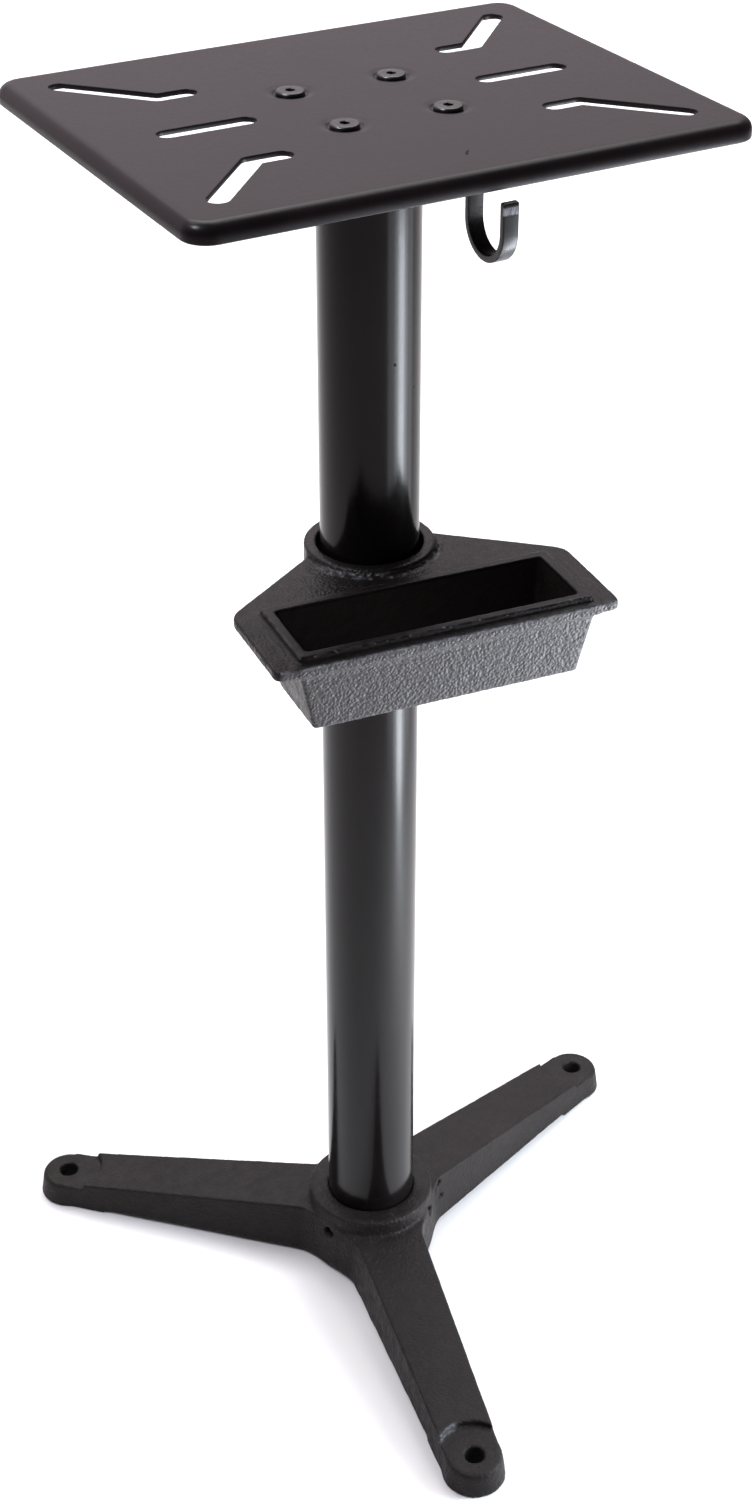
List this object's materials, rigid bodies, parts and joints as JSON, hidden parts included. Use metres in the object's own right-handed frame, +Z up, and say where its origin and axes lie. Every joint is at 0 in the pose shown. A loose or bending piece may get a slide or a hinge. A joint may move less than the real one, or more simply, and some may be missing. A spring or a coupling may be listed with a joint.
{
  "type": "bench grinder pedestal stand",
  "caption": "Pedestal stand that holds a bench grinder at working height, with slotted plate, tubular column, sliding tool tray, hook and three-legged cast base.",
  "frame": {"origin": "floor level on the column axis, at the centre of the circle of floor holes", "axes": "+Z up along the column, X along the long side of the plate, -Y the front where the tray and the hook are"},
  "size_m": [0.4324, 0.4206, 0.8431],
  "materials": {
    "cast_black": "black enamel over rough sand-cast iron",
    "gloss_black": "gloss black enamel on smooth tube",
    "plate_black": "satin black enamel on pressed sheet",
    "hook_black": "semi-gloss black enamel, scuffed at the tip",
    "zinc_steel": "zinc plated",
    "black_oxide": "black oxide, slightly oiled"
  },
  "bodies": {
    "base": {"base_casting": "cast_black"},
    "column": {"column_tube": "gloss_black", "column_flange": "gloss_black", "column_weld": "gloss_black", "top_plate": "plate_black", "plate_screw_1": "black_oxide", "plate_screw_2": "black_oxide", "plate_screw_3": "black_oxide", "plate_screw_4": "black_oxide", "lock_washer_1": "zinc_steel", "lock_washer_2": "zinc_steel", "lock_washer_3": "zinc_steel", "lock_washer_4": "zinc_steel", "hex_nut_1": "zinc_steel", "hex_nut_2": "zinc_steel", "hex_nut_3": "zinc_steel", "hex_nut_4": "zinc_steel", "hook_strap": "hook_black", "hook_weld": "hook_black"},
    "tray": {"tray_casting": "cast_black"},
    "tray_screw": {"tray_set_screw": "black_oxide"},
    "base_screw_1": {"base_set_screw_1": "black_oxide"},
    "base_screw_2": {"base_set_screw_2": "black_oxide"},
    "base_screw_3": {"base_set_screw_3": "black_oxide"}
  },
  "joints": [
    {"name": "column_swivel", "type": "hinge", "parent": "base", "child": "column", "pos_m": [0, 0, 0.0085], "axis": [0, 0, 1], "continuous": true},
    {"name": "tray_height", "type": "slide", "parent": "column", "child": "tray", "axis": [0, 0, 1], "range_m": [-0.45, 0.2]},
    {"name": "tray_screw_travel", "type": "slide", "parent": "tray", "child": "tray_screw", "axis": [0.0976, 0.9952, 0], "range_m": [0, 0.008]},
    {"name": "base_screw_1_travel", "type": "slide", "parent": "base", "child": "base_screw_1", "axis": [0.2028, 0.9792, 0], "range_m": [0, 0.008]},
    {"name": "base_screw_2_travel", "type": "slide", "parent": "base", "child": "base_screw_2", "axis": [-0.9494, -0.314, 0], "range_m": [0, 0.008]},
    {"name": "base_screw_3_travel", "type": "slide", "parent": "base", "child": "base_screw_3", "axis": [0.7466, -0.6652, 0], "range_m": [0, 0.008]}
  ]
}
